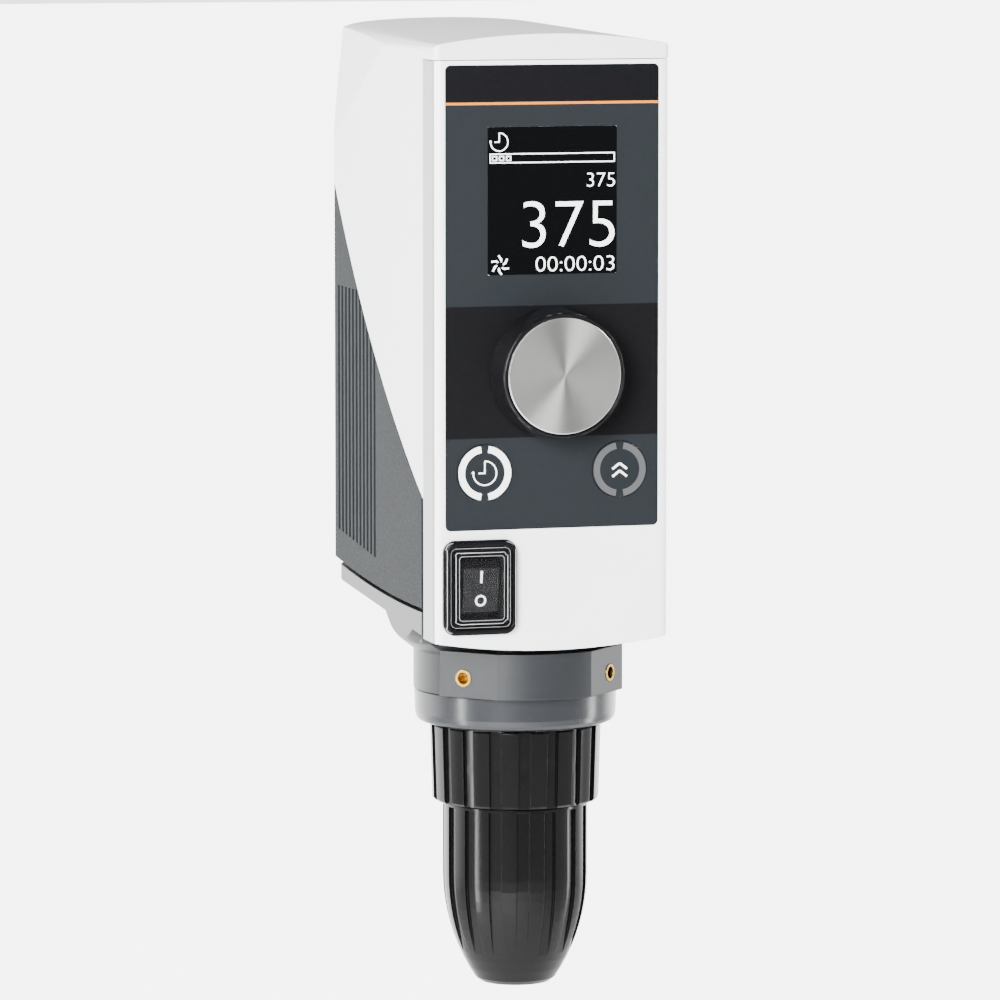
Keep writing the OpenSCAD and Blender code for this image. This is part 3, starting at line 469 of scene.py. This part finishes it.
# ---------------------------------------------------------------- the marks of this machine
def make_display(look):
    """What the screen shows: a clock over a bar, the two speeds, a fan and the running time."""
    ink = look["screen_ink"]
    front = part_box("display_window")[0][1] / MM - 0.01
    stroke = 0.42

    def put(name, shapes):
        lay(name, "head", "display_window", ink, shapes, 0.03, front)

    def write(name, words, right, base, height, width):
        digits(name, words, right, base, height, width, front, ink)

    put("screen_clock", clock(-19.0, 141.2, 3.3, stroke))
    put("screen_bar", frame_box(-22.4, 133.9, 22.3, 137.3, stroke))
    blocks = []
    pitch, block = 2.5, 1.9
    for k in range(3):
        x = -21.6 + pitch * k
        blocks += frame_box(x, 134.7, x + block, 136.5, 0.4)
    put("screen_blocks", blocks)
    put("screen_fan", fan(-18.7, 99.2, 3.5))
    write("screen_set_speed", "375", right=22.3, base=125.5, height=4.8, width=10.0)
    write("screen_speed", "375", right=22.2, base=104.9, height=15.9, width=33.0)
    write("screen_time", "00:00:03", right=22.2, base=96.7, height=5.1, width=28.2)


def split_ring(cx, cz):
    """The two halves of a key's ring, with a gap at its top and at its bottom."""
    inner, outer, half_gap = 7.1, 9.4, 9
    left = arc(cx, cz, inner, outer, 90 + half_gap, 270 - half_gap, 26)
    right = arc(cx, cz, inner, outer, half_gap - 90, 90 - half_gap, 26)
    return left + right


def double_arrow(cx, cz):
    """Two arrow heads that point up, one over the other."""
    half, rise, stroke = 2.6, 2.0, 0.8
    marks = []
    for foot in (cz - 2.5, cz + 0.1):
        marks += line(cx - half, foot, cx, foot + rise, stroke)
        marks += line(cx, foot + rise, cx + half, foot, stroke)
    return marks


def key_centre(node):
    """A key's X and Z. Its facets put its box a few thousandths off centre, and rounding undoes that."""
    x, _, z = centre(node)
    return round(x, 1), round(z, 1)


def make_key_marks(look):
    # These inks carry a painted glow: the printed marks glow though they are no lamps.
    white, grey = look["white_ink_painted_glow"], look["grey_ink_painted_glow"]
    timer_x, timer_z = key_centre("timer_button")
    max_x, max_z = key_centre("max_button")
    lay("timer_ring", "timer_key", "timer_button", white, split_ring(timer_x, timer_z))
    lay("max_ring", "max_key", "max_button", grey, split_ring(max_x, max_z))
    lay("timer_clock", "timer_key", "timer_button", white, clock(timer_x, timer_z, 4.4, 0.5))
    lay("max_arrows", "max_key", "max_button", white, double_arrow(max_x, max_z))


def make_rocker_marks(look):
    """The bar above and the ring below the middle of the rocker."""
    cx, _, cz = centre("switch_rocker")
    # Its ink carries a painted glow, though the marks are print.
    white = look["white_ink_painted_glow"]
    thick = 0.05
    on_mark = bar(cx - 0.4, cz + 2.0, cx + 0.4, cz + 6.2)
    off_mark = arc(cx, cz - 4.2, 1.3, 2.0, 0, 360, 28)
    lay("rocker_on_mark", "rocker", "switch_rocker", white, on_mark, thick)
    lay("rocker_off_mark", "rocker", "switch_rocker", white, off_mark, thick)


def painted_highlight_loop(name, node, look, inset, corner, radius):
    """A thin round tube on a node's front surface, this far inside the node's outline, drawn in a pale
    colour as a painted highlight along an edge.
    """
    low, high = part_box(node)
    cx, _, cz = centre(node)
    hx, hz = (high[0] - low[0]) / 2 / MM - inset, (high[2] - low[2]) / 2 / MM - inset
    points = []
    for sx, sz, start in ((1, 1, 0), (-1, 1, 90), (-1, -1, 180), (1, -1, 270)):
        for k in range(9):
            a = math.radians(start + 90 * k / 8)
            x = cx + sx * (hx - corner) + corner * math.cos(a)
            z = cz + sz * (hz - corner) + corner * math.sin(a)
            points.append((x, z))
    c = bpy.data.curves.new(name, "CURVE")
    c.dimensions = "3D"
    c.bevel_depth = radius * MM
    c.bevel_resolution = 2
    spline = c.splines.new("POLY")
    spline.points.add(len(points) - 1)
    tree = front_tree(node)
    for point, (x, z) in zip(spline.points, points):
        point.co = (x * MM, front_of(tree, x, z, low[1]), z * MM, 1.0)
    spline.use_cyclic_u = True
    c.materials.append(look)
    add_piece(name, c, "head")


def make_switch_highlights(look):
    # Painted highlights: pale tubes along the seal's and the boot's edges stand in for the glints those
    # edges catch.
    edge = look["painted_highlight_loop"]
    painted_highlight_loop("seal_painted_highlight", "switch_seal", edge, inset=0.9, corner=2.4, radius=0.13)
    painted_highlight_loop("boot_painted_highlight_outer", "switch_boot", edge, inset=0.6, corner=2.0, radius=0.07)
    painted_highlight_loop("boot_painted_highlight_middle", "switch_boot", edge, inset=2.0, corner=1.6, radius=0.13)
    painted_highlight_loop("boot_painted_highlight_inner", "switch_boot", edge, inset=3.2, corner=1.2, radius=0.08)


# ---------------------------------------------------------------- studio
def area(name, place, aim, width, height, power):
    light = bpy.data.lights.new(name, "AREA")
    light.shape = "RECTANGLE"
    light.size = width
    light.size_y = height
    light.energy = power
    o = bpy.data.objects.new(name, light)
    o.location = place
    o.rotation_euler = (Vector(aim) - Vector(place)).to_track_quat("-Z", "Y").to_euler()
    bpy.context.scene.collection.objects.link(o)


def make_floor():
    """A pale floor: no glow far in front of the object, a faint one around it, a strong one behind it."""
    floor_level, half_size = -0.60, 30.0
    bm = bmesh.new()
    bmesh.ops.create_grid(bm, x_segments=2, y_segments=2, size=half_size)
    mesh = bpy.data.meshes.new("floor")
    bm.to_mesh(mesh)
    bm.free()
    floor = bpy.data.objects.new("floor", mesh)
    floor.location = (0.0, 0.0, floor_level)
    bpy.context.scene.collection.objects.link(floor)
    pale = moulded("floor_white", (0.96, 0.96, 0.96), rough=0.9, grain=30, strength=0.02, vary=0.005,
                   edge=0.0)
    t = pale.node_tree
    skin = t.nodes["Principled BSDF"]
    skin.inputs["Emission Color"].default_value = (1.0, 1.0, 1.0, 1.0)
    way = split_axes(t, object_coords(t))["Y"]
    around = remap(t, way, -3.5, -2.5, 0.0, 1.1)
    behind = remap(t, way, 0.6, 1.6, 0.0, 4.9)
    t.links.new(calculate(t, "ADD", around, behind), skin.inputs["Emission Strength"])
    mesh.materials.append(pale)


def make_world():
    """A studio that is bright behind the object, dimmer in front of it and dim above."""
    world = bpy.data.worlds.new("studio")
    world.use_nodes = True
    t = world.node_tree
    back = t.nodes["Background"]
    back.inputs["Color"].default_value = (1.0, 1.0, 1.0, 1.0)
    way = split_axes(t, t.nodes.new("ShaderNodeTexCoord").outputs["Generated"])
    to_back = remap(t, way["Y"], -0.3, 0.6, 0.30, 2.8, "SMOOTHSTEP")
    to_top = remap(t, way["Z"], 0.05, 0.6, 1.0, 0.12, "SMOOTHSTEP")
    t.links.new(calculate(t, "MULTIPLY", to_back, to_top), back.inputs["Strength"])
    bpy.context.scene.world = world


def make_studio():
    make_world()
    make_floor()
    middle = (0.0, -0.08, 0.02)
    area("key_light", (-0.95, -1.55, 0.50), middle, width=0.7, height=0.9, power=135.0)
    area("left_strip", (-1.15, -0.30, 0.05), middle, width=0.09, height=1.4, power=20.0)
    area("right_strip", (1.0, -0.25, 0.0), middle, width=0.08, height=1.4, power=14.0)


def make_camera():
    """A long lens in front of the object, a little to its left and above it."""
    turn, dip = math.radians(16.3), math.radians(6.2)
    ahead = Vector((math.sin(turn) * math.cos(dip), math.cos(turn) * math.cos(dip), -math.sin(dip)))
    camera = bpy.data.cameras.new("camera")
    camera.lens = 216.0
    camera.sensor_width = 36.0
    camera.dof.use_dof = False
    o = bpy.data.objects.new("camera", camera)
    o.location = (-0.5931, -2.1052, 0.2408)
    o.rotation_euler = ahead.to_track_quat("-Z", "Y").to_euler()
    bpy.context.scene.collection.objects.link(o)
    bpy.context.scene.camera = o


# ---------------------------------------------------------------- put together
def main():
    look = {**make_plastics(), **make_metals(), **make_inks()}
    make_camera()
    dress(look)
    make_display(look)
    make_key_marks(look)
    make_rocker_marks(look)
    make_switch_highlights(look)
    make_studio()
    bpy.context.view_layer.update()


main()
